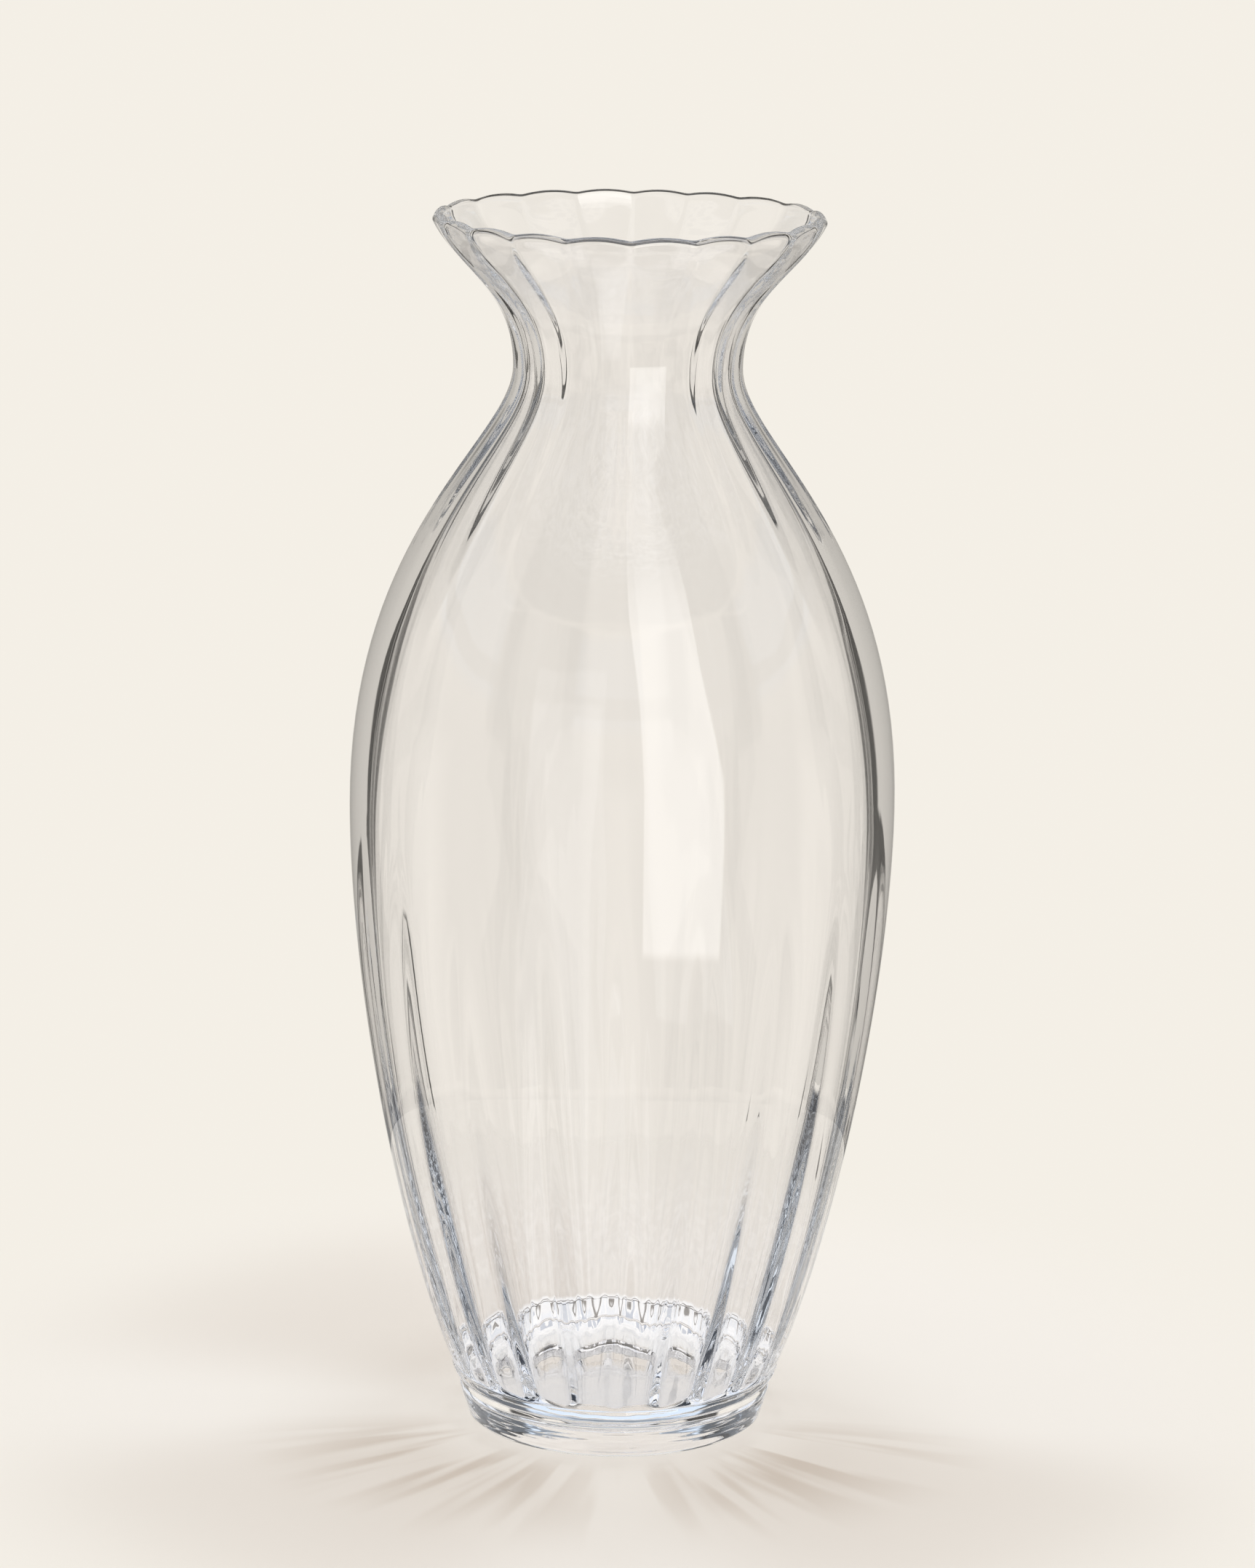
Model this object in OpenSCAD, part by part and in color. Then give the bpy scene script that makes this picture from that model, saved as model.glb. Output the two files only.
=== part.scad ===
// Glass vase: a tall blown body with vertical optic flutes, a narrow neck and a flared wavy mouth,
// standing on a solid round foot that is joined hot under it.
// Lengths are in millimetres. The foot stands on z = 0 and the vase's axis is the Z axis.

/* [Overall] */
// Height from the table to the highest point of the lip
height = 300; // [285:1:360]

/* [Belly] */
// Outer diameter at the widest part
belly_d = 132.8; // [110:0.2:160]
// Height of the widest part above the table
belly_z = 156; // [125:1:185]
// Wall at its thinnest, in the lower belly, measured on a rib
belly_wall = 3.4; // [3:0.1:6]
// Height of that thinnest part above the table
thin_z = 105; // [80:1:120]

/* [Shoulder] */
// Wall in the shoulder, where the glass draws together, measured on a rib
shoulder_wall = 5.7; // [3:0.1:6.5]
// Height above the table at which the shoulder's wall is measured
shoulder_z = 187; // [186:1:225]

/* [Neck] */
// Outer diameter at the narrowest part
neck_d = 55; // [44:0.5:76]
// Height of the narrowest part above the table
neck_z = 263; // [235:1:272]
// Wall at the narrowest part, measured on a rib
neck_wall = 4.4; // [3:0.1:6]

/* [Mouth] */
// Outer diameter across the lip
mouth_d = 94; // [80:1:120]
// Angle that the wall leans outwards by just below the lip
mouth_lean = 26; // [10:1:45]
// Wall just below the lip
mouth_wall = 2.1; // [1.5:0.1:3]
// Thickness of the rounded bead that fire polishing leaves along the lip
lip_d = 2.7; // [2:0.1:4]
// Height of the wave along the lip, which dips at each rib
lip_wave = 0.7; // [0:0.1:2]
// Depth below the lip over which that wave dies out
wave_reach = 14; // [8:1:24]

/* [Base] */
// Outer diameter where the fluted wall rises from the plain heel
base_d = 80.4; // [72:0.2:96]
// Angle that the wall leans outwards by there
base_lean = 23.5; // [15:0.5:32]
// Wall at the inner floor, measured on a rib
base_wall = 6; // [4:0.1:9]
// Height of the plain heel between the flutes and the foot
heel_h = 5; // [3:0.5:10]
// Amount that the heel stands proud of the fluted wall
heel_step = 0.3; // [0:0.1:0.8]
// Glass between the foot and the inner floor
floor_t = 2.4; // [1.5:0.1:8]
// Radius of the inner corner between the floor and a rib
rib_corner_r = 5; // [3:0.5:9]
// Radius of the inner corner between the floor and a hollow, which scallops the floor's edge
hollow_corner_r = 11; // [5:0.5:13]

/* [Foot] */
// Height of the solid foot
foot_h = 8; // [5:0.5:14]
// Diameter at the ledge, where the foot meets the body
ledge_d = 77; // [68:0.5:80]
// Rounding of the two edges that make the ledge
ledge_r = 0.8; // [0.4:0.1:1.2]
// Outer diameter of the foot at the table
foot_d = 73.6; // [62:0.2:76]
// Rounding of the foot's lower edge
foot_r = 1.6; // [0.8:0.1:3]
// Width of the polished ring that the vase rests on
rest_w = 6.5; // [4:0.5:12]
// Height of the shallow hollow inside that ring
punt_h = 1.6; // [0.6:0.1:3]

/* [Flutes] */
// Number of flutes around the vase
flutes = 20; // [12:1:22]
// Depth of the inner flutes at the floor
base_flute = 2.1; // [0.4:0.1:2.6]
// Depth of the inner flutes at the top of their thick root
root_flute = 1.2; // [0.3:0.1:2]
// Height above the table of the top of that root
root_z = 45; // [38:1:60]
// Depth of the inner flutes in the lower belly, where the wall is thinnest
lower_flute = 0.65; // [0.2:0.05:1.5]
// Depth of the inner flutes at the widest part, where they all but die out
belly_flute = 0.1; // [0.05:0.05:1]
// Depth of the inner flutes at the neck
neck_flute = 0.15; // [0.05:0.05:1]

/* [Hidden] */

// Points across each flute, and rings up each stretch of the wall
flute_points = 4;
low_rings = 11;
belly_rings = 7;
root_rings = 4;
shoulder_rings = 10;
flare_rings = 7;
corner_rings = 4;
lip_rings = 3;
edge_rings = 2;
// Steps in the table of the inner wall's radius by height
table_steps = 40;
// Facets around the turned foot
$fn = 160;

// How flat the outer facets are at the base, lower belly, shoulder, neck and lip: 1 is a true flat
facet_shares = [0, 0, 0.1, 0.9, 0.7];
// How far each curve's handles reach, as shares of the height of their stretch
low_start_share = 0.24;
low_end_share = 0.31;
shoulder_start_share = 0.63;
shoulder_end_share = 0.165;
flare_start_share = 0.52;
flare_end_share = 0.4;
// Depth below the lip where the bead starts to swell, as a share of the wave's reach
bead_share = 0.3;

belly_rad = belly_d / 2;
neck_rad = neck_d / 2;
base_rad = base_d / 2;
base_z = foot_h + heel_h;
floor_z = foot_h + floor_t;
weld_rad = ledge_d / 2 - ledge_r;

// The lip's bead is a circle that touches the top and the outer diameter
lip_rad = lip_d / 2;
lip_at = [mouth_d / 2 - lip_rad, height - lip_rad];
bead_z = height - bead_share * wave_reach;

function mix(a, b, t) = a + (b - a) * t;
function ease(t) = (1 - cos(180 * min(1, max(0, t)))) / 2;
function turned(angle) = [sin(angle), cos(angle)];
function curve(p, t) =
    pow(1 - t, 3) * p[0]
    + 3 * t * pow(1 - t, 2) * p[1]
    + 3 * t * t * (1 - t) * p[2]
    + pow(t, 3) * p[3];
function slope(p, t) =
    pow(1 - t, 2) * (p[1] - p[0])
    + 2 * t * (1 - t) * (p[2] - p[1])
    + t * t * (p[3] - p[2]);

// A stretch of wall between two points, with the angle from upright and the handle share at each
function stretch(from, from_lean, from_share, to, to_lean, to_share) =
    let (rise = to[1] - from[1])
    [
        from,
        from + from_share * rise * turned(from_lean),
        to - to_share * rise * turned(to_lean),
        to
    ];

// The value at height z, eased from one of the given heights to the next
function along(z, heights, values, i = 0) =
    z < heights[i + 1] || i == len(heights) - 2
    ? mix(values[i], values[i + 1], ease((z - heights[i]) / (heights[i + 1] - heights[i])))
    : along(z, heights, values, i + 1);

// Wall on a rib at height z: it thins towards the mouth and swells into the lip's bead
wall_heights = [base_z, thin_z, shoulder_z, neck_z, bead_z];
walls = [base_wall, belly_wall, shoulder_wall, neck_wall, mouth_wall];
function wall_at(z) =
    z < bead_z ? along(z, wall_heights, walls)
    : mix(mouth_wall, lip_d, ease((z - bead_z) / (lip_at[1] - bead_z)));

// Depth that an outer facet sinks below its ribs, at radius r and height z
function facet_at(r, z) = along(z, wall_heights, facet_shares) * r * (1 - cos(180 / flutes));

// Depth of the inner flutes at height z
flute_heights = [base_z, root_z, thin_z, belly_z, neck_z, bead_z];
flute_depths = [base_flute, root_flute, lower_flute, belly_flute, neck_flute, 0];
function flute_at(z) = along(z, flute_heights, flute_depths);

// How far the lip's wave lowers a rib at height z
function wave_at(z) = lip_wave * ease((z - height + wave_reach) / (wave_reach - lip_rad));

// The outside of the wall, in three stretches
belly_at = [belly_rad, belly_z];
neck_at = [neck_rad, neck_z];
low = stretch([base_rad, base_z], base_lean, low_start_share, belly_at, 0, low_end_share);
shoulder = stretch(belly_at, 0, shoulder_start_share, neck_at, 0, shoulder_end_share);
lip_side = lip_rad * [cos(mouth_lean), -sin(mouth_lean)];
flare = stretch(neck_at, 0, flare_start_share, lip_at + lip_side, mouth_lean, flare_end_share);

// The point inside the wall, square across it from the outside
function inside(run, t) =
    let (
        p = curve(run, t),
        s = slope(run, t),
        across = [s[1], -s[0]] / norm(s)
    )
    p - wall_at(p[1]) * across;

// A ring of the body: [radius and height on a rib, radius and height midway between two ribs]
function outer_ring(p) = [p, p - [facet_at(p[0], p[1]), 0]];
function inner_ring(p) = [p, p + [flute_at(p[1]) - facet_at(p[0], p[1]), 0]];

// The inner wall below the belly by height, on a rib and in a hollow
low_inside = [for (i = [0 : table_steps]) inner_ring(inside(low, i / table_steps))];
rib_table = [for (ring = low_inside) [ring[0][1], ring[0][0]]];
hollow_table = [for (ring = low_inside) [ring[1][1], ring[1][0]]];

// Points down the root of a rib or a hollow and round its inner corner, which ends level
function root_run(table, corner_r) =
    let (
        top_z = floor_z + corner_r * (1 - sin(base_lean)),
        corner_at = [lookup(top_z, table) - corner_r * cos(base_lean), floor_z + corner_r]
    )
    concat(
        [
            for (i = [0 : root_rings - 1])
                let (z = mix(root_z, top_z, i / root_rings))
                [lookup(z, table), z]
        ],
        [
            for (i = [corner_rings : -1 : 0])
                let (angle = (90 - base_lean) * i / corner_rings)
                corner_at + corner_r * [sin(angle), -cos(angle)]
        ]
    );
rib_root = root_run(rib_table, rib_corner_r);
hollow_root = root_run(hollow_table, hollow_corner_r);

heel_top = base_rad + heel_step;
heel_points = concat(
    [
        for (i = [0 : edge_rings])
            let (angle = 90 * i / edge_rings)
            [weld_rad + ledge_r * sin(angle), foot_h + ledge_r * (1 - cos(angle))]
    ],
    [[heel_top, base_z - heel_step]]
);
heel_rings = [for (p = heel_points) [p, p]];
outer_rings = concat(
    [for (i = [0 : low_rings - 1]) outer_ring(curve(low, i / low_rings))],
    [for (i = [0 : shoulder_rings - 1]) outer_ring(curve(shoulder, i / shoulder_rings))],
    [for (i = [0 : flare_rings]) outer_ring(curve(flare, i / flare_rings))]
);
bead_angles = concat(
    [for (i = [1 : lip_rings]) mix(-mouth_lean, 90, i / lip_rings)],
    [for (i = [1 : lip_rings - 1]) mix(90, 180 - mouth_lean, i / lip_rings)]
);
bead_rings = [
    for (angle = bead_angles)
        let (p = lip_at + lip_rad * [cos(angle), sin(angle)])
        [p, p - [facet_at(mouth_d / 2, height), 0]]
];
inner_rings = concat(
    [for (i = [flare_rings : -1 : 1]) inner_ring(inside(flare, i / flare_rings))],
    [for (i = [shoulder_rings : -1 : 1]) inner_ring(inside(shoulder, i / shoulder_rings))],
    [
        for (i = [belly_rings : -1 : 1])
            let (z = mix(root_z, belly_z, i / belly_rings))
            [[lookup(z, rib_table), z], [lookup(z, hollow_table), z]]
    ],
    [for (i = [0 : root_rings + corner_rings]) [rib_root[i], hollow_root[i]]]
);
rings = concat(heel_rings, outer_rings, bead_rings, inner_rings);

around = flutes * flute_points;
// How close azimuth step j is to a rib: 1 on it and 0 midway between two
function rib(j) = pow(abs(2 * (j % flute_points) / flute_points - 1), 2);
function ring_point(ring, j) =
    let (
        p = mix(ring[1], ring[0], rib(j)),
        z = p[1] - wave_at(p[1]) * rib(j),
        angle = 360 * j / around
    )
    [p[0] * cos(angle), p[0] * sin(angle), z];

// Skin that joins ring after ring, with a flat disc at the first and at the last
module skin(rings, from_z, to_z) {
    last = len(rings) * around;
    points = concat(
        [for (ring = rings) for (j = [0 : around - 1]) ring_point(ring, j)],
        [[0, 0, from_z], [0, 0, to_z]]
    );
    sides = [
        for (i = [0 : len(rings) - 2])
            for (j = [0 : around - 1])
                let (
                    a = i * around + j,
                    b = i * around + (j + 1) % around,
                    c = b + around,
                    d = a + around
                )
                each [[a, d, c], [a, c, b]]
    ];
    ends = [
        for (j = [0 : around - 1])
            let (k = (j + 1) % around)
            each [
                [last, j, k],
                [last + 1, last - around + k, last - around + j]
            ]
    ];
    polyhedron(points, concat(sides, ends));
}

// The blown body: heel, fluted wall, neck, mouth with its lip, and the scalloped inner floor
module body() {
    color([0.86, 0.9, 0.91, 0.45])
        skin(rings, foot_h, floor_z);
}

// The foot: a solid turned disc with a tapered side, a resting ring and a shallow hollow
foot_steps = 6;
rest_out = foot_d / 2 - foot_r;
rest_in = rest_out - rest_w;
foot_lean = atan((ledge_d - foot_d) / 2 / (foot_h - foot_r - ledge_r));
module foot() {
    hollow = [
        for (i = [0 : foot_steps])
            let (t = i / foot_steps)
            [rest_in * t, punt_h * (1 - t * t)]
    ];
    lower_edge = [
        for (i = [0 : foot_steps])
            let (angle = (90 - foot_lean) * i / foot_steps)
            [rest_out + foot_r * sin(angle), foot_r * (1 - cos(angle))]
    ];
    upper_edge = [
        for (i = [0 : foot_steps])
            let (angle = 90 * i / foot_steps)
            [weld_rad + ledge_r * cos(angle), foot_h - ledge_r * (1 - sin(angle))]
    ];
    color([0.8, 0.86, 0.88, 0.55])
        rotate_extrude()
            polygon(concat(hollow, lower_edge, upper_edge, [[0, foot_h]]));
}

body();
foot();
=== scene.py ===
import math

import bmesh
import bpy
from mathutils import Matrix, Vector, noise
from mathutils.geometry import interpolate_bezier


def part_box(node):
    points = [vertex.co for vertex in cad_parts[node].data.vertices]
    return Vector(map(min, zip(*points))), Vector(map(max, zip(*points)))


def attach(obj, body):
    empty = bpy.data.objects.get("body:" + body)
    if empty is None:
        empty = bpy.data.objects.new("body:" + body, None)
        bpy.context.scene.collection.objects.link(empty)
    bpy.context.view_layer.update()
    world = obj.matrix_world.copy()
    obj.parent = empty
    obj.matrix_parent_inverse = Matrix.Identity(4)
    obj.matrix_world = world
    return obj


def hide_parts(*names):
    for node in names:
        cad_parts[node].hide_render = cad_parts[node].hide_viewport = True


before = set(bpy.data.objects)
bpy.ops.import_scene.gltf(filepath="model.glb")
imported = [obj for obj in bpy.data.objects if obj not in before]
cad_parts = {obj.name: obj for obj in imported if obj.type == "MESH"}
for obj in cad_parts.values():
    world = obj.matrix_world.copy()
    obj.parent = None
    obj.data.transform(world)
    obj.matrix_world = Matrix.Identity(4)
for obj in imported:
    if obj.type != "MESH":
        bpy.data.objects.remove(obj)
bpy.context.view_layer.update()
bodyLow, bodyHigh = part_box("body")
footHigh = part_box("foot")[1]
print("frame loaded")

footHeight = bodyLow.z
vaseHeight = bodyHigh.z
bellyRadius = bodyHigh.x
ledgeRadius = footHigh.x

# The profile is in metres and degrees, and heights are above the table
vaseShape = {
    "bellyHeight": 0.156,
    "neckRadius": 0.0275,
    "neckHeight": 0.263,
    "mouthRadius": 0.047,
    "mouthLean": 26,
    "lipRadius": 0.00135,
    "lipSteps": 14,
    "lipWave": 0.0007,
    "waveReach": 0.014,
    "baseRadius": 0.0402,
    "baseLean": 23.5,
    "lowPulls": (0.24, 0.31),  # reach of the two handles of each curve, as shares of its rise
    "shoulderPulls": (0.63, 0.165),
    "flarePulls": (0.52, 0.4),
    "lowSteps": 38,
    "shoulderSteps": 36,
    "flareSteps": 26,
    "wallHeights": (0.013, 0.105, 0.187, 0.263, 0.2958),
    "walls": (0.006, 0.0034, 0.0057, 0.0044, 0.0021),
    "heelHeight": 0.005,
    "heelStep": 0.0003,
    "ledgeRadius": 0.0008,
    "ledgeSteps": 5,
    "floorThickness": 0.0024,
    "hollowCorner": 0.011,  # radius round the inner floor, between the ribs and on them
    "ribCorner": 0.005,
    "cornerReach": 0.045,
    "cornerSteps": 12,
    "reachSteps": 10,
    "flutes": 20,
    "stepsPerFlute": 16,
    "outerFacets": (0.0, 0.0, 0.1, 0.9, 0.7),  # 1 is a flat side, at the heights of the walls
    "fluteHeights": (0.013, 0.045, 0.105, 0.156, 0.263, 0.2958),
    "innerFlutes": (0.0021, 0.0012, 0.00065, 0.0001, 0.00015, 0.0),
    "ribSoftness": (0.5, 0.25, 0.12, 0.12, 0.12, 0.12),
    "handScale": 5,  # the unevenness of hand work, which is longer up the wall than round it
    "drift": 0.05,
    "driftScale": 1.3,
    "uneven": 0.5,
    "unevenScale": 2.6,
    "unevenShift": (7, 3, 1),
    "wobble": 0.00012,
    "wobbleScale": 3.1,
}

axisGap = 1e-6
weldGap = 1e-7


def ease(t):
    return (1 - math.cos(math.pi * min(1, max(0, t)))) / 2


def mix(a, b, t):
    return a + (b - a) * t


def leaning(angle):
    return Vector((math.sin(math.radians(angle)), math.cos(math.radians(angle))))


def eased(z, heights, values):
    last = len(heights) - 2
    for i in range(last + 1):
        if z < heights[i + 1] or i == last:
            return mix(values[i], values[i + 1], ease((z - heights[i]) / (heights[i + 1] - heights[i])))


def wallAt(z, shape):
    bead = shape["wallHeights"][-1]
    lip = vaseHeight - shape["lipRadius"]
    if z < bead:
        return eased(z, shape["wallHeights"], shape["walls"])
    return mix(shape["walls"][-1], 2 * shape["lipRadius"], ease((z - bead) / (lip - bead)))


def facetAt(radius, z, shape):
    flatness = eased(z, shape["wallHeights"], shape["outerFacets"])
    return flatness * radius * (1 - math.cos(math.pi / shape["flutes"]))


def fluteAt(z, shape):
    return eased(z, shape["fluteHeights"], shape["innerFlutes"])


def waveAt(z, shape):
    reach = shape["waveReach"]
    return shape["lipWave"] * ease((z - vaseHeight + reach) / (reach - shape["lipRadius"]))


def curveBetween(start, startLean, end, endLean, pulls, steps):
    rise = end.y - start.y
    knots = (
        start,
        start + pulls[0] * rise * leaning(startLean),
        end - pulls[1] * rise * leaning(endLean),
        end,
    )
    return [p.xy for p in interpolate_bezier(*[k.to_3d() for k in knots], steps)]


def arcPoints(centre, radius, startAngle, endAngle, steps):
    turns = [math.radians(mix(startAngle, endAngle, i / steps)) for i in range(steps + 1)]
    return [centre + radius * Vector((math.cos(a), math.sin(a))) for a in turns]


def outerCurve(shape, base, lip):
    belly = Vector((bellyRadius, shape["bellyHeight"]))
    neck = Vector((shape["neckRadius"], shape["neckHeight"]))
    lean = shape["mouthLean"]
    tilt = math.radians(lean)
    lipSide = lip + shape["lipRadius"] * Vector((math.cos(tilt), -math.sin(tilt)))
    low = curveBetween(base, shape["baseLean"], belly, 0, shape["lowPulls"], shape["lowSteps"])
    shoulder = curveBetween(belly, 0, neck, 0, shape["shoulderPulls"], shape["shoulderSteps"])
    flare = curveBetween(neck, 0, lipSide, lean, shape["flarePulls"], shape["flareSteps"])
    return low[:-1] + shoulder[:-1] + flare


def insideOf(points, shape):
    found = []
    for i, p in enumerate(points):
        along = points[min(i + 1, len(points) - 1)] - points[max(i - 1, 0)]
        across = Vector((along.y, -along.x)).normalized()
        found.append(p - wallAt(p.y, shape) * across)
    return found


def wallPoint(wall, z):
    for below, above in zip(wall, wall[1:]):
        if above.y >= z:
            return below.lerp(above, (z - below.y) / (above.y - below.y))


def innerRun(wall, corner, shape):
    # down the inside of the wall, then round the corner onto the inner floor
    lean = shape["baseLean"]
    reach = shape["cornerReach"]
    steps = shape["reachSteps"]
    topZ = footHeight + shape["floorThickness"] + corner * (1 - math.sin(math.radians(lean)))
    top = wallPoint(wall, topZ)
    centre = top + corner * Vector((-math.cos(math.radians(lean)), math.sin(math.radians(lean))))
    upper = [p for p in wall[::-1] if p.y > reach]
    lower = [wallPoint(wall, mix(reach, topZ, i / steps)) for i in range(steps)]
    return upper + lower + arcPoints(centre, corner, -lean, -90, shape["cornerSteps"])


def wallProfile(shape):
    # each row is a point on a rib and its fellow halfway between two ribs
    base = Vector((shape["baseRadius"], footHeight + shape["heelHeight"]))
    lip = Vector((shape["mouthRadius"] - shape["lipRadius"], vaseHeight - shape["lipRadius"]))
    outer = outerCurve(shape, base, lip)
    ribWall = insideOf(outer, shape)
    hollowWall = [p + Vector((fluteAt(p.y, shape) - facetAt(p.x, p.y, shape), 0)) for p in ribWall]
    ribs = innerRun(ribWall, shape["ribCorner"], shape)
    hollows = innerRun(hollowWall, shape["hollowCorner"], shape)

    ledge = shape["ledgeRadius"]
    ledgeCentre = Vector((ledgeRadius - ledge, footHeight + ledge))
    plain = [Vector((0, footHeight))]
    plain += arcPoints(ledgeCentre, ledge, -90, 0, shape["ledgeSteps"])
    plain += [Vector((shape["baseRadius"] + shape["heelStep"], base.y - shape["heelStep"]))]
    lean = shape["mouthLean"]
    bead = arcPoints(lip, shape["lipRadius"], -lean, 180 - lean, shape["lipSteps"])[1:-1]
    lipFacet = Vector((facetAt(shape["mouthRadius"], vaseHeight, shape), 0))
    middle = Vector((0, footHeight + shape["floorThickness"]))

    rows = [(p, p) for p in plain]
    rows += [(p, p - Vector((facetAt(p.x, p.y, shape), 0))) for p in outer]
    rows += [(p, p - lipFacet) for p in bead]
    rows += list(zip(ribs, hollows))
    rows += [(middle, middle)]
    return rows


def spunShell(rows, steps):
    # the way from a rib to its hollow rides on each vertex through the spin
    mesh = bmesh.new()
    hollow = mesh.verts.layers.float_vector.new("hollow")
    chain = []
    for rib, between in rows:
        vert = mesh.verts.new((rib.x, 0, rib.y))
        vert[hollow] = (between.x - rib.x, 0, between.y - rib.y)
        chain.append(vert)
    edges = [mesh.edges.new(pair) for pair in zip(chain, chain[1:])]
    bmesh.ops.spin(
        mesh,
        geom=chain + edges,
        cent=(0, 0, 0),
        axis=(0, 0, 1),
        dvec=(0, 0, 0),
        angle=2 * math.pi,
        steps=steps,
        use_merge=True,
        use_normal_flip=False,
        use_duplicate=False,
    )
    bmesh.ops.remove_doubles(mesh, verts=mesh.verts, dist=weldGap)
    return mesh, hollow


def ribAt(angle, z, shape):
    # 1 on a rib and 0 in the hollow beside it
    turn = angle / (2 * math.pi) * shape["flutes"]
    away = 1 - abs(2 * (turn - math.floor(turn)) - 1)
    soft = eased(z, shape["fluteHeights"], shape["ribSoftness"])
    away = (math.hypot(away, soft) - soft) / (math.hypot(1, soft) - soft)
    return 1 - away * (2 - away)


def fluteWall(mesh, hollow, shape):
    for vert in mesh.verts:
        radius = math.hypot(vert.co.x, vert.co.y)
        if radius < axisGap:
            continue
        angle = math.atan2(vert.co.y, vert.co.x)
        spot = Vector((math.cos(angle), math.sin(angle), vert.co.z * shape["handScale"]))
        drift = shape["drift"] * noise.noise(spot * shape["driftScale"])
        rib = ribAt(angle + drift, vert.co.z, shape)
        uneven = noise.noise(spot * shape["unevenScale"] + Vector(shape["unevenShift"]))
        change = vert[hollow] * (1 - rib) * (1 + shape["uneven"] * uneven)
        moved = radius + change.x
        if vert[hollow].x > 0:
            moved += shape["wobble"] * noise.noise(spot * shape["wobbleScale"])
        vert.co.z += change.z - waveAt(vert.co.z, shape) * rib
        vert.co.x *= moved / radius
        vert.co.y *= moved / radius


def finishMesh(mesh, name, materials):
    # the faces where body and foot are fused get the second material
    bmesh.ops.recalc_face_normals(mesh, faces=mesh.faces)
    for face in mesh.faces:
        face.smooth = True
        fused = all(abs(v.co.z - footHeight) < weldGap for v in face.verts)
        face.material_index = 1 if fused else 0
    data = bpy.data.meshes.new(name)
    mesh.to_mesh(data)
    mesh.free()
    piece = bpy.data.objects.new(name, data)
    bpy.context.collection.objects.link(piece)
    for material in materials:
        data.materials.append(material)
    return piece


def newMaterial(name):
    material = bpy.data.materials.new(name)
    material.use_nodes = True
    material.node_tree.nodes.clear()
    return material, material.node_tree


def node(tree, kind, inputs=None, **settings):
    made = tree.nodes.new(kind)
    for key, value in settings.items():
        setattr(made, key, value)
    for key, value in (inputs or {}).items():
        if isinstance(value, bpy.types.NodeSocket):
            tree.links.new(value, made.inputs[key])
        else:
            made.inputs[key].default_value = value
    return made


def maths(tree, operation, a, b=0.0, c=0.0, clamp=False):
    made = node(tree, "ShaderNodeMath", {0: a, 1: b, 2: c}, operation=operation, use_clamp=clamp)
    return made.outputs[0]


def product(tree, first, *others):
    for other in others:
        first = maths(tree, "MULTIPLY", first, other)
    return first


def dimmer(tree, mask, tone):
    # 1 outside the mask and the tone inside it
    return maths(tree, "MULTIPLY_ADD", mask, tone - 1, 1.0)


def atLeast(tree, bounces, number):
    return maths(tree, "GREATER_THAN", bounces, number - 0.5)


def atMost(tree, bounces, number):
    return maths(tree, "LESS_THAN", bounces, number + 0.5)


def ranged(tree, value, low, high, toLow=0.0, toHigh=1.0, kind="SMOOTHSTEP"):
    inputs = {"Value": value, "From Min": low, "From Max": high, "To Min": toLow, "To Max": toHigh}
    return node(tree, "ShaderNodeMapRange", inputs, interpolation_type=kind).outputs[0]


def within(tree, value, low, high, soft):
    begins = ranged(tree, value, low - soft, low + soft)
    return product(tree, begins, ranged(tree, value, high - soft, high + soft, 1.0, 0.0))


def blended(tree, share, a, b):
    return node(tree, "ShaderNodeMix", {0: share, 2: a, 3: b}, data_type="FLOAT").outputs[0]


def tinted(tree, share, a, b, kind="MIX"):
    return node(tree, "ShaderNodeMix", {0: share, 6: a, 7: b}, data_type="RGBA", blend_type=kind).outputs[2]


def layered(tree, share, a, b):
    return node(tree, "ShaderNodeMixShader", {0: share, 1: a, 2: b}).outputs[0]


def placed(tree, x, y=0.0, z=0.0):
    return node(tree, "ShaderNodeCombineXYZ", {0: x, 1: y, 2: z}).outputs[0]


def grain(tree, place, scale, detail, roughness=0.5):
    inputs = {"Vector": place, "Scale": scale, "Detail": detail, "Roughness": roughness}
    return node(tree, "ShaderNodeTexNoise", inputs).outputs[0]


white = (1, 1, 1, 1)

glassFinish = {
    "colour": (0.962, 0.956, 0.957, 1),
    "ior": 1.5,
    "ringStretch": (22.0, 22.0, 300.0),  # tooling rings on the foot
    "ringDetail": 2.0,
    "ringDepth": 0.0003,
    "footTop": (0.0075, 0.009),
    "markScale": 160.0,  # melt marks low in the body
    "markDetail": 1.0,
    "markStart": (0.009, 0.011),
    "markEnd": (0.014, 0.034),
    "markDepth": 0.00015,
    "shadowClear": (0.97, 0.965, 0.96, 1),
    "shadowEdge": (0.45, 0.41, 0.38, 1),
    "shadowRib": (-0.6, 1.0),
    "ribShade": 0.7,
    "grazingBlend": 0.5,
    "grazing": 5.0,
}


def glassRelief(tree, place, finish):
    height = node(tree, "ShaderNodeSeparateXYZ", {0: place}).outputs["Z"]
    stretch = node(tree, "ShaderNodeVectorMath", {0: place, 1: finish["ringStretch"]}, operation="MULTIPLY")
    rings = grain(tree, stretch.outputs["Vector"], 1.0, finish["ringDetail"])
    onFoot = ranged(tree, height, *finish["footTop"], 1.0, 0.0)
    marks = grain(tree, place, finish["markScale"], finish["markDetail"])
    started = ranged(tree, height, *finish["markStart"])
    ended = ranged(tree, height, *finish["markEnd"], 1.0, 0.0)
    rings = product(tree, rings, onFoot, finish["ringDepth"])
    marks = product(tree, marks, started, ended, finish["markDepth"])
    relief = maths(tree, "ADD", rings, marks)
    return node(tree, "ShaderNodeBump", {"Strength": 1.0, "Distance": 1.0, "Height": relief}).outputs[0]


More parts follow.
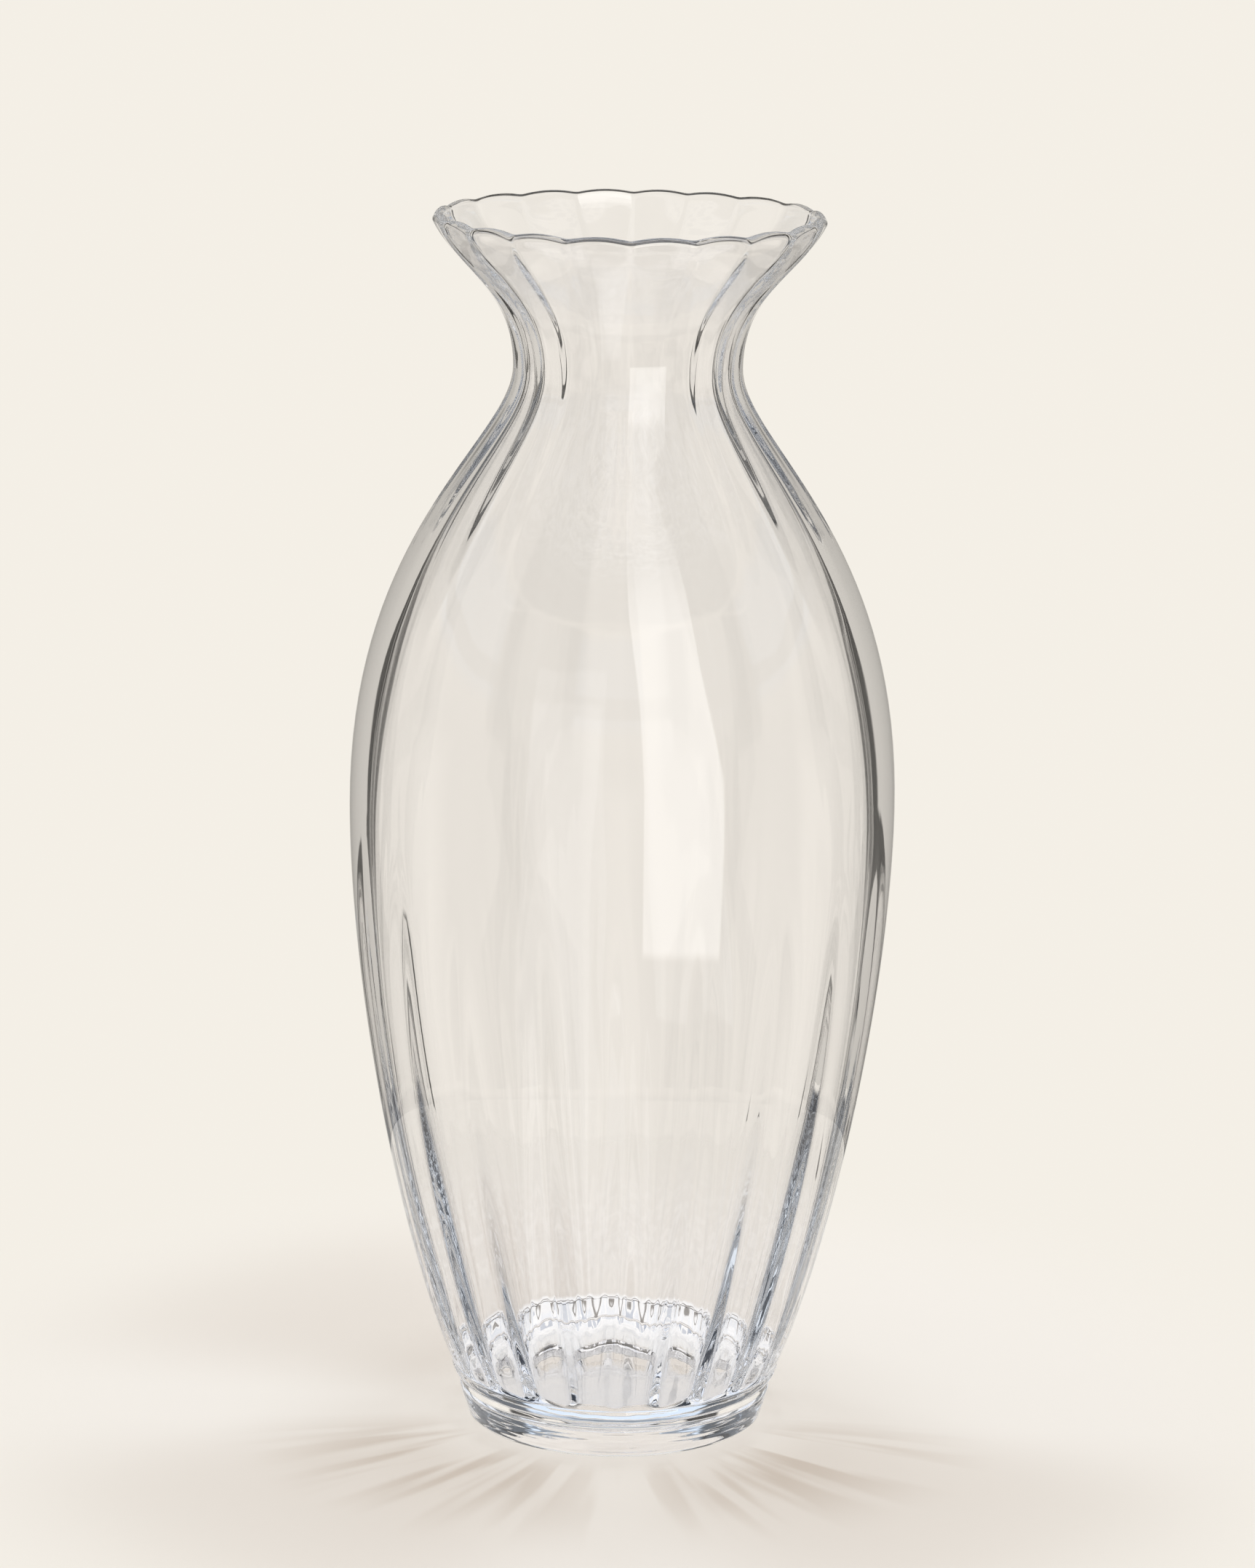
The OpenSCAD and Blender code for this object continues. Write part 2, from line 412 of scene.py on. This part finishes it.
def shadowTint(tree, place, finish, flutes):
    # darker where the light grazes the wall, and most of all on the ribs
    parts = node(tree, "ShaderNodeSeparateXYZ", {0: place}).outputs
    turn = maths(tree, "ARCTAN2", parts["Y"], parts["X"])
    ribs = maths(tree, "COSINE", maths(tree, "MULTIPLY", turn, flutes))
    ribs = ranged(tree, ribs, *finish["shadowRib"])
    facing = node(tree, "ShaderNodeLayerWeight", {"Blend": finish["grazingBlend"]}).outputs["Facing"]
    grazing = maths(tree, "POWER", facing, finish["grazing"])
    share = maths(tree, "MULTIPLY_ADD", ribs, finish["ribShade"], 1 - finish["ribShade"])
    shade = maths(tree, "MULTIPLY", grazing, share, clamp=True)
    return tinted(tree, shade, finish["shadowClear"], finish["shadowEdge"])


def glassMaterial(name, finish, flutes):
    material, tree = newMaterial(name)
    place = node(tree, "ShaderNodeTexCoord").outputs["Object"]
    glass = node(tree, "ShaderNodeBsdfPrincipled", {
        "Base Color": finish["colour"],
        "Roughness": 0.0,
        "IOR": finish["ior"],
        "Transmission Weight": 1.0,
        "Normal": glassRelief(tree, place, finish),
    })
    tint = shadowTint(tree, place, finish, flutes)
    through = node(tree, "ShaderNodeBsdfTransparent", {"Color": tint})
    rays = node(tree, "ShaderNodeLightPath").outputs
    lampRays = maths(tree, "MAXIMUM", rays["Is Shadow Ray"], rays["Is Diffuse Ray"])
    surface = layered(tree, lampRays, glass.outputs[0], through.outputs[0])
    node(tree, "ShaderNodeOutputMaterial", {"Surface": surface})
    return material


def fusedMaterial(name, finish):
    # no surface is left where two gathers of glass have run together
    material, tree = newMaterial(name)
    fused = node(tree, "ShaderNodeBsdfPrincipled", {
        "Base Color": white,
        "Roughness": 0.0,
        "IOR": finish["ior"],
        "Alpha": 0.0,
    })
    node(tree, "ShaderNodeOutputMaterial", {"Surface": fused.outputs[0]})
    return material


clearGlass = glassMaterial("clearGlass", glassFinish, vaseShape["flutes"])
fusedFace = fusedMaterial("fusedFace", glassFinish)


def makeBody(shape):
    mesh, hollow = spunShell(wallProfile(shape), shape["flutes"] * shape["stepsPerFlute"])
    fluteWall(mesh, hollow, shape)
    return finishMesh(mesh, "vase_body", (clearGlass, fusedFace))


body = makeBody(vaseShape)
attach(body, "root")
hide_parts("body")
print("body made")

footShape = {
    "restRadius": 0.0368,
    "restWidth": 0.0065,
    "edgeRadius": 0.0016,
    "edgeSteps": 8,
    "ledgeSteps": 6,
    "puntHeight": 0.0016,
    "puntSteps": 10,
    "steps": 240,
}


def makeFoot(shape, ledge):
    edge = shape["edgeRadius"]
    restOut = shape["restRadius"] - edge
    restIn = restOut - shape["restWidth"]
    lean = math.degrees(math.atan((ledgeRadius - shape["restRadius"]) / (footHeight - edge - ledge)))
    shares = [i / shape["puntSteps"] for i in range(shape["puntSteps"] + 1)]
    punt = [Vector((restIn * s, shape["puntHeight"] * (1 - s ** 2))) for s in shares]
    lower = arcPoints(Vector((restOut, edge)), edge, -90, -lean, shape["edgeSteps"])
    ledgeCentre = Vector((ledgeRadius - ledge, footHeight - ledge))
    upper = arcPoints(ledgeCentre, ledge, 0, 90, shape["ledgeSteps"])
    profile = punt + lower + upper + [Vector((0, footHeight))]
    mesh = spunShell([(p, p) for p in profile], shape["steps"])[0]
    return finishMesh(mesh, "vase_foot", (clearGlass, fusedFace))


foot = makeFoot(footShape, vaseShape["ledgeRadius"])
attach(foot, "root")
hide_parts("foot")
print("foot made")

studio = {
    "backdrop": (0.9055, 0.865, 0.7933, 1),
    "ambient": 0.76,
    "ambientColour": (1.0, 0.93, 0.85, 1),
    "lampColour": (0.78, 0.79, 0.775),
    "lamps": (  # name, place, size, power
        ("overhead", (0.0, 0.12, 1.3), 0.3, 3.4),
        ("back_left", (-0.5, 0.75, 1.05), 0.25, 2.7),
        ("back_right", (0.5, 0.75, 1.05), 0.25, 2.5),
    ),
}

# the pale floor, with painted shade on it: narrow streaks round the foot and two broad painted shadows
paper = {
    "radius": 0.21,
    "sides": 96,
    "fadeStart": 0.1,
    "fadeEndShare": 0.97,
    "colour": (0.86, 0.86, 0.86, 1),
    "shadeColour": (0.56, 0.5, 0.45, 1),
    "streakScale": 8.5,
    "streakDrift": 1.5,
    "streakDetail": 1.5,
    "streakRange": (0.44, 0.6),
    "streakStart": (0.037, 0.05),
    "streakEnd": (0.058, 0.105),
    "streakAside": (0.1, 0.6, 0.5, 1.0),
    "streakFront": (-0.5, -0.05),
    "streakDepth": 0.45,
    "lobeTurn": 44,
    "lobeNarrowing": 2.0,
    "lobeRange": (0.1, 1.0),
    "lobeStart": (0.036, 0.06),
    "lobeEnd": 0.13,
    "lobeDepth": 0.3,
}


def wheel(tree, turn, away, drift):
    # a place for patterns that run outwards like spokes
    across = maths(tree, "COSINE", turn)
    return placed(tree, across, maths(tree, "SINE", turn), maths(tree, "MULTIPLY", away, drift))


def paperShader(tree, turn, away, paper, backdrop):
    # painted shade: narrow streaks around the front of the foot, where the flutes would starve the light
    spokes = wheel(tree, turn, away, paper["streakDrift"])
    spokes = grain(tree, spokes, paper["streakScale"], paper["streakDetail"])
    aside = maths(tree, "ABSOLUTE", maths(tree, "COSINE", turn))
    paintedStreaks = product(
        tree,
        ranged(tree, spokes, *paper["streakRange"]),
        ranged(tree, away, *paper["streakStart"]),
        ranged(tree, away, *paper["streakEnd"], 1.0, 0.0),
        ranged(tree, aside, *paper["streakAside"]),
        ranged(tree, maths(tree, "SINE", turn), *paper["streakFront"], 1.0, 0.0),
    )

    # two broad soft painted shadows towards the front corners
    edge = paper["radius"] * paper["fadeEndShare"]
    corner = maths(tree, "ABSOLUTE", maths(tree, "ADD", turn, math.pi / 2))
    corner = maths(tree, "SUBTRACT", corner, math.radians(paper["lobeTurn"]))
    corner = maths(tree, "COSINE", maths(tree, "MULTIPLY", corner, paper["lobeNarrowing"]))
    paintedShadows = product(
        tree,
        ranged(tree, corner, *paper["lobeRange"]),
        ranged(tree, away, *paper["lobeStart"]),
        ranged(tree, away, paper["lobeEnd"], edge, 1.0, 0.0),
        paper["lobeDepth"],
    )
    # painted shade: the streaks and the painted shadows darken the floor's own colour
    shade = maths(tree, "MULTIPLY_ADD", paintedStreaks, paper["streakDepth"], paintedShadows, clamp=True)
    colour = tinted(tree, shade, paper["colour"], paper["shadeColour"])
    lit = node(tree, "ShaderNodeBsdfDiffuse", {"Color": colour}).outputs[0]
    plain = node(tree, "ShaderNodeEmission", {"Color": backdrop, "Strength": 1.0}).outputs[0]
    return layered(tree, ranged(tree, away, paper["fadeStart"], edge), lit, plain)


# Painted light on the table, shown only to rays that went through the glass and were turned back: the light
# that the ribs and the foot would turn back from the table
paintedRibLight = {
    "nearDrift": 6.0,
    "fineScale": 7.0,
    "fineDetail": 3.0,
    "fineRange": (0.46, 0.53),
    "broadScale": 5.0,
    "broadDetail": 2.0,
    "broadRange": (0.45, 0.6),
    "nearDark": (0.02, 0.032, 0.05, 1),
    "nearCool": (0.8, 0.87, 1.0, 1),
    "farStart": (0.062, 0.072),
    "farDrift": 38.0,
    "farScale": 7.0,
    "farDetail": 2.0,
    "farRange": (0.5, 0.545),
    "farDark": (0.02, 0.035, 0.06, 1),
    "farLight": (0.8, 0.87, 0.96, 1),
    "duskStart": (0.1, 0.15),
    "duskShare": 0.8,
    "duskColour": (0.07, 0.07, 0.075, 1),
    "roughness": 0.6,
    "aside": (0.25, 0.6),
    "allRound": (0.07, 0.1),
    "reach": (0.196, 0.206),
}


def paintedRibShader(tree, turn, away, light):
    # painted light: dark streaks and cool lights that glow on the table near the foot
    near = wheel(tree, turn, away, light["nearDrift"])
    fine = grain(tree, near, light["fineScale"], light["fineDetail"], light["roughness"])
    broad = grain(tree, near, light["broadScale"], light["broadDetail"])
    tone = tinted(tree, ranged(tree, fine, *light["fineRange"]), light["nearDark"], white)
    cool = tinted(tree, ranged(tree, broad, *light["broadRange"]), white, light["nearCool"])
    tone = tinted(tree, 1.0, tone, cool, kind="MULTIPLY")

    # further out the painted pattern is darkness with small painted lights, darker still towards its end
    far = wheel(tree, turn, away, light["farDrift"])
    far = grain(tree, far, light["farScale"], light["farDetail"], light["roughness"])
    far = tinted(tree, ranged(tree, far, *light["farRange"]), light["farDark"], light["farLight"])
    dusk = ranged(tree, away, *light["duskStart"], 0.0, light["duskShare"])
    far = tinted(tree, dusk, far, light["duskColour"])
    tone = tinted(tree, ranged(tree, away, *light["farStart"]), tone, far)
    return node(tree, "ShaderNodeEmission", {"Color": tone, "Strength": 1.0}).outputs[0]


def paintedRibMask(tree, turn, away, light):
    aside = ranged(tree, maths(tree, "ABSOLUTE", maths(tree, "COSINE", turn)), *light["aside"])
    aside = maths(tree, "MAXIMUM", aside, ranged(tree, away, *light["allRound"]))
    return product(tree, aside, ranged(tree, away, *light["reach"], 1.0, 0.0))


# Painted light on the table, seen straight through the base: a painted pool of light with a ring of painted
# panes round it
paintedPoolLight = {
    "middle": (0.76, 0.76, 0.77, 1),
    "middleEnd": (0.024, 0.031),
    "colour": (0.97, 0.975, 0.98, 1),
    "bendScale": 95.0,
    "bendDetail": 1.0,
    "bendDepth": 0.006,
    "bendTurn": 2.2,
    "waves": 12.0,
    "waveDepth": 0.0015,
    "brightStart": (0.036, 0.038),
    "bright": (1.1, 1.1, 1.1, 1),
    "paneStart": (0.039, 0.041),
    "paneEnd": (0.05, 0.0515),
    "paneTurns": 7.0,
    "paneRows": 190.0,
    "lineStart": (0.0525, 0.0535),
    "lineEnd": (0.054, 0.056),
    "lineColour": (0.3, 0.28, 0.26, 1),
    "reach": (0.056, 0.066),
    "panes": {
        "Color1": (0.34, 0.4, 0.52, 1),
        "Color2": (1.05, 1.07, 1.1, 1),
        "Mortar": (1.15, 1.15, 1.15, 1),
        "Scale": 1.0,
        "Mortar Size": 0.14,
        "Mortar Smooth": 0.2,
        "Bias": 0.25,
        "Brick Width": 0.9,
        "Row Height": 1.1,
    },
    "paneOffset": 0.4,
}


def paintedPoolShader(tree, place, turn, away, light):
    # painted bending: noise and waves round the foot bend the edges of the painted pool and panes, as the
    # flutes would
    bend = grain(tree, place, light["bendScale"], light["bendDetail"])
    wave = maths(tree, "COSINE", maths(tree, "MULTIPLY", turn, light["waves"]))
    waved = maths(tree, "MULTIPLY_ADD", wave, light["waveDepth"], away)
    waved = maths(tree, "SUBTRACT", waved, light["bendDepth"] / 2)
    waved = maths(tree, "MULTIPLY_ADD", bend, light["bendDepth"], waved)
    column = maths(tree, "MULTIPLY", turn, light["paneTurns"])
    column = maths(tree, "MULTIPLY_ADD", bend, light["bendTurn"], column)
    plot = placed(tree, column, maths(tree, "MULTIPLY", waved, light["paneRows"]))
    panes = node(tree, "ShaderNodeTexBrick", {"Vector": plot, **light["panes"]}, offset=light["paneOffset"])
    paned = ranged(tree, waved, *light["paneStart"])
    paned = product(tree, paned, ranged(tree, waved, *light["paneEnd"], 1.0, 0.0))
    line = ranged(tree, waved, *light["lineStart"])
    line = product(tree, line, ranged(tree, waved, *light["lineEnd"], 1.0, 0.0))

    # painted light: a greyer middle, a bright ring with panes, and a dark line round it
    pool = tinted(tree, ranged(tree, away, *light["middleEnd"]), light["middle"], light["colour"])
    bright = tinted(tree, paned, light["bright"], panes.outputs[0])
    pool = tinted(tree, ranged(tree, waved, *light["brightStart"]), pool, bright)
    pool = tinted(tree, line, pool, light["lineColour"])
    return node(tree, "ShaderNodeEmission", {"Color": pool, "Strength": 1.0}).outputs[0]


def makeFloor(paper, backdrop):
    mesh = bmesh.new()
    bmesh.ops.create_circle(mesh, cap_ends=True, segments=paper["sides"], radius=paper["radius"])
    data = bpy.data.meshes.new("studio_floor")
    mesh.to_mesh(data)
    mesh.free()
    floor = bpy.data.objects.new("studio_floor", data)
    bpy.context.collection.objects.link(floor)

    material, tree = newMaterial("palePaper")
    place = node(tree, "ShaderNodeTexCoord").outputs["Object"]
    parts = node(tree, "ShaderNodeSeparateXYZ", {0: place}).outputs
    turn = maths(tree, "ARCTAN2", parts["Y"], parts["X"])
    away = node(tree, "ShaderNodeVectorMath", {0: place}, operation="LENGTH").outputs["Value"]

    # only rays that went through the glass see the painted light that the glass would gather there, the rib
    # pattern and the pool
    rays = node(tree, "ShaderNodeLightPath").outputs
    entered = atLeast(tree, rays["Transmission Depth"], 1)
    bounced = atLeast(tree, rays["Glossy Depth"], 1)
    direct = atMost(tree, rays["Glossy Depth"], 0)
    paintedTurnedBack = product(tree, entered, bounced, paintedRibMask(tree, turn, away, paintedRibLight))
    paintedSeenThrough = product(tree, entered, direct, ranged(tree, away, *paintedPoolLight["reach"], 1.0, 0.0))
    surface = paperShader(tree, turn, away, paper, backdrop)
    surface = layered(tree, paintedTurnedBack, surface, paintedRibShader(tree, turn, away, paintedRibLight))
    surface = layered(tree, paintedSeenThrough, surface, paintedPoolShader(tree, place, turn, away, paintedPoolLight))
    node(tree, "ShaderNodeOutputMaterial", {"Surface": surface})
    data.materials.append(material)


makeFloor(paper, studio["backdrop"])
print("floor made")

# What the glass shows of the room: brightnesses, and limits in degrees round and up
room = {
    "wallTone": (1.0, 1.09),  # what shows straight through the glass
    "mottleScale": 7.0,
    "mottleDetail": 1.0,
    "mottleRange": (0.3, 0.7),
    "repeat": 45,
    "sideFlag": (19.3, 31.0),  # dark flags for light that only passes through
    "sideSoft": 1.0,
    "sideTone": 0.04,
    "farDown": (-27, -35),  # what the lip and the foot's edge bend light to
    "farUp": (12, 20),
    "farTone": 0.08,
    "edgeTone": 0.76,  # what the thick edges of the glass turn back, with a dark double line
    "flag": (37.8, 44.5),
    "flagStart": (-1.031, 0.286),
    "flagEnd": 0.688,
    "flagFrom": 8.0,  # below this many degrees down the flags start sooner
    "flagReach": 10.0,
    "flagSpread": 3.0,
    "flagLeast": 20.0,
    "gapShare": 0.6,  # the lit gap between the two lines
    "gapHalf": 0.6,
    "gapTone": 0.3,
    "lineBounces": 2,
    "highFrom": (3, 10),
    "highTone": 1.1,
    "raised": ((22, 25), (44, 46)),
    "raisedTone": 0.15,
    "solidTone": 0.16,  # the same for light that crossed only the foot or the heel
    "heelBand": (13.0, 17.0),  # the dark line under the heel
    "heelSoft": 0.458,
    "heelTone": 0.35,
    "mirrorTone": 0.25,  # what the outer face mirrors, apart from lit strips
    "strips": 4.0,
    "stripHalf": 9.0,
    "stripSoft": 0.2,
    "mirrorRise": (5, -5),
}

softbox = {
    "low": (10.0, 44.0),
    "top": (5.0, 26.0),
    "rise": (-23.0, 58.0),
    "soft": 0.573,
    "strength": 3.0,
    "highStrength": 1.1,
    "high": (36, 50),
    "inside": 0.3,
    "colour": (0.92, 0.92, 0.92, 1),
}

# Small cool reflections of windows and frames, high in the room
windowLight = {
    "plotTurn": 1.2,
    "plotRise": 9.0,
    "lineScale": 1.6,
    "lineDetail": 3.0,
    "lineRoughness": 0.6,
    "lineRange": (0.46, 0.54),
    "lineDark": (0.05, 0.07, 0.11, 1),
    "lineLight": (1.03, 1.03, 1.04, 1),
    "panes": {
        "Color1": (0.42, 0.45, 0.55, 1),
        "Color2": (0.75, 0.77, 0.85, 1),
        "Mortar": (1.15, 1.15, 1.15, 1),
        "Scale": 2.0,
        "Mortar Size": 0.09,
        "Brick Width": 0.35,
        "Row Height": 0.7,
    },
    "paneOffset": 0.3,
    "paneFrom": (28, 36),
    "twiceFrom": (4, 10),
    "onceFrom": (44, 50),
    "coolBand": (11.0, 29.0),  # what the foot and heel turn back is bluish there
    "coolSoft": 1.719,
    "coolColour": (0.72, 0.84, 1.0, 1),
}


def straightTone(tree, turn, swung, elevation, room):
    mottle = grain(tree, placed(tree, turn), room["mottleScale"], room["mottleDetail"])
    wall = ranged(tree, mottle, *room["mottleRange"], *room["wallTone"])
    down = ranged(tree, elevation, *room["farDown"])
    far = maths(tree, "MAXIMUM", down, ranged(tree, elevation, *room["farUp"]))
    side = within(tree, swung, *room["sideFlag"], room["sideSoft"])
    return product(tree, wall, dimmer(tree, far, room["farTone"]), dimmer(tree, side, room["sideTone"]))


def edgeTone(tree, swung, elevation, fewBounces, solid, room):
    lower = maths(tree, "ADD", elevation, room["flagFrom"])
    lower = maths(tree, "MAXIMUM", maths(tree, "MINIMUM", lower, 0.0), -room["flagReach"])
    first = maths(tree, "MULTIPLY_ADD", lower, room["flagSpread"], room["flag"][0])
    first = maths(tree, "MAXIMUM", first, room["flagLeast"])
    last = maths(tree, "ADD", lower, room["flag"][1])
    fromFirst = maths(tree, "SUBTRACT", swung, first)
    fromLast = maths(tree, "SUBTRACT", swung, last)
    begun = ranged(tree, fromFirst, *room["flagStart"])
    ended = ranged(tree, fromLast, -room["flagEnd"], room["flagEnd"], 1.0, 0.0)
    gap = maths(tree, "SUBTRACT", swung, blended(tree, room["gapShare"], first, last))
    gap = maths(tree, "ABSOLUTE", gap)
    gap = ranged(tree, gap, 0.0, room["gapHalf"], room["gapTone"], 0.0, kind="LINEAR")
    edges = blended(tree, product(tree, begun, ended, fewBounces), room["edgeTone"], gap)

    start, end = room["raised"]
    raised = product(tree, ranged(tree, swung, *start), ranged(tree, swung, *end, 1.0, 0.0))
    dark = blended(tree, solid, room["raisedTone"], room["solidTone"])
    raised = blended(tree, raised, room["highTone"], dark)
    return blended(tree, ranged(tree, elevation, *room["highFrom"]), edges, raised)


def mirrorTone(tree, turn, elevation, room):
    edge = math.cos(math.radians(room["strips"] * room["stripHalf"]))
    soft = room["stripSoft"]
    strips = maths(tree, "COSINE", maths(tree, "MULTIPLY", turn, room["strips"]))
    strips = ranged(tree, strips, edge - soft, edge + soft, room["mirrorTone"], 1.0)
    low = ranged(tree, elevation, *room["mirrorRise"], room["mirrorTone"], 1.0)
    return maths(tree, "MINIMUM", strips, low)


def softboxMask(tree, azimuth, elevation, box):
    # one tall box to the right, narrower and nearer the middle at its top
    soft = box["soft"]
    up = ranged(tree, elevation, 0.0, box["rise"][1], kind="LINEAR")
    left = maths(tree, "MULTIPLY_ADD", up, box["top"][0] - box["low"][0], box["low"][0])
    right = maths(tree, "MULTIPLY_ADD", up, box["top"][1] - box["low"][1], box["low"][1])
    fromLeft = ranged(tree, maths(tree, "SUBTRACT", azimuth, left), -soft, soft)
    fromRight = ranged(tree, maths(tree, "SUBTRACT", right, azimuth), -soft, soft)
    return product(tree, fromLeft, fromRight, within(tree, elevation, *box["rise"], soft))


def windowColour(tree, turn, rise, elevation, light):
    across = maths(tree, "MULTIPLY", turn, light["plotTurn"])
    plot = placed(tree, across, maths(tree, "MULTIPLY", rise, light["plotRise"]))
    lines = grain(tree, plot, light["lineScale"], light["lineDetail"], light["lineRoughness"])
    lines = tinted(tree, ranged(tree, lines, *light["lineRange"]), light["lineDark"], light["lineLight"])
    panes = node(tree, "ShaderNodeTexBrick", {"Vector": plot, **light["panes"]}, offset=light["paneOffset"])
    return tinted(tree, ranged(tree, elevation, *light["paneFrom"]), lines, panes.outputs[0])


def makeWorld(studio, room, box, light):
    world = bpy.data.worlds.new("studio")
    bpy.context.scene.world = world
    world.use_nodes = True
    tree = world.node_tree
    tree.nodes.clear()
    ray = node(tree, "ShaderNodeTexCoord").outputs["Generated"]
    parts = node(tree, "ShaderNodeSeparateXYZ", {0: ray}).outputs
    turn = maths(tree, "ARCTAN2", parts["X"], maths(tree, "MULTIPLY", parts["Y"], -1.0))
    rise = maths(tree, "ARCSINE", parts["Z"])
    azimuth = maths(tree, "DEGREES", turn)  # 0 towards the camera, positive to the right
    elevation = maths(tree, "DEGREES", rise)
    swung = maths(tree, "PINGPONG", azimuth, room["repeat"])
    rays = node(tree, "ShaderNodeLightPath").outputs
    entered = atLeast(tree, rays["Transmission Depth"], 1)
    bounced = atLeast(tree, rays["Glossy Depth"], 1)
    twice = atLeast(tree, rays["Glossy Depth"], 2)
    fewBounces = atMost(tree, rays["Glossy Depth"], room["lineBounces"])
    # light that crossed only the foot or the heel goes in and out once
    solid = product(tree, bounced, atMost(tree, rays["Transmission Depth"], 2))

    straight = straightTone(tree, turn, swung, elevation, room)
    edges = edgeTone(tree, swung, elevation, fewBounces, solid, room)
    heel = product(tree, within(tree, elevation, *room["heelBand"], room["heelSoft"]), solid)
    inside = product(tree, blended(tree, bounced, straight, edges), dimmer(tree, heel, room["heelTone"]))
    tone = blended(tree, entered, mirrorTone(tree, turn, elevation, room), inside)
    boxed = product(tree, softboxMask(tree, azimuth, elevation, box), bounced)
    boxTone = ranged(tree, elevation, *box["high"], box["strength"], box["highStrength"])
    tone = maths(tree, "ADD", tone, product(tree, boxed, boxTone, dimmer(tree, entered, box["inside"])))
    tone = blended(tree, rays["Is Diffuse Ray"], tone, studio["ambient"])
    tone = blended(tree, rays["Is Camera Ray"], tone, 1.0)

    once = ranged(tree, elevation, *light["onceFrom"])
    high = maths(tree, "MAXIMUM", product(tree, twice, ranged(tree, elevation, *light["twiceFrom"])), once)
    windows = windowColour(tree, turn, rise, elevation, light)
    cool = within(tree, elevation, *light["coolBand"], light["coolSoft"])
    colour = tinted(tree, product(tree, high, entered), studio["backdrop"], windows)
    colour = tinted(tree, product(tree, solid, entered, cool), colour, light["coolColour"])
    colour = tinted(tree, boxed, colour, box["colour"])
    colour = tinted(tree, rays["Is Diffuse Ray"], colour, studio["ambientColour"])
    shell = node(tree, "ShaderNodeBackground", {"Color": colour, "Strength": tone})
    node(tree, "ShaderNodeOutputWorld", {"Surface": shell.outputs[0]})


def makeLamp(name, place, size, power, colour):
    light = bpy.data.lights.new(name, "AREA")
    light.shape = "DISK"
    light.size = size
    light.energy = power
    light.color = colour
    lamp = bpy.data.objects.new(name, light)
    bpy.context.collection.objects.link(lamp)
    place = Vector(place)
    aim = (-place).to_track_quat("-Z", "Y").to_matrix().to_4x4()
    lamp.matrix_world = Matrix.Translation(place) @ aim
    lamp.visible_camera = False
    lamp.visible_glossy = False
    lamp.visible_transmission = False


makeWorld(studio, room, softbox, windowLight)
for lamp in studio["lamps"]:
    makeLamp(*lamp, studio["lampColour"])
print("studio lit")

view = {
    "place": (0.0, -1.2914, 0.4675),
    "pitch": 13.377,
    "turn": -0.055,
    "roll": 0.783,
    "lens": 125.13,
    "sensor": 36,
}


def makeCamera(view):
    data = bpy.data.cameras.new("camera")
    data.sensor_fit = "VERTICAL"
    data.sensor_height = view["sensor"]
    data.lens = view["lens"]
    camera = bpy.data.objects.new("camera", data)
    bpy.context.collection.objects.link(camera)
    turned = Matrix.Rotation(math.radians(view["turn"]), 4, "Z")
    tilted = Matrix.Rotation(math.radians(90 - view["pitch"]), 4, "X")
    rolled = Matrix.Rotation(math.radians(view["roll"]), 4, "Z")
    camera.matrix_world = Matrix.Translation(view["place"]) @ turned @ tilted @ rolled
    bpy.context.scene.camera = camera


makeCamera(view)
print("camera placed")

lightPaths = {
    "bounces": 64,  # light crosses the ribs many times
    "transparent": 40,
}

scene = bpy.context.scene
scene.view_settings.view_transform = "Standard"
scene.cycles.max_bounces = lightPaths["bounces"]
scene.cycles.transmission_bounces = lightPaths["bounces"]
scene.cycles.glossy_bounces = lightPaths["bounces"]
scene.cycles.transparent_max_bounces = lightPaths["transparent"]

bpy.context.view_layer.update()
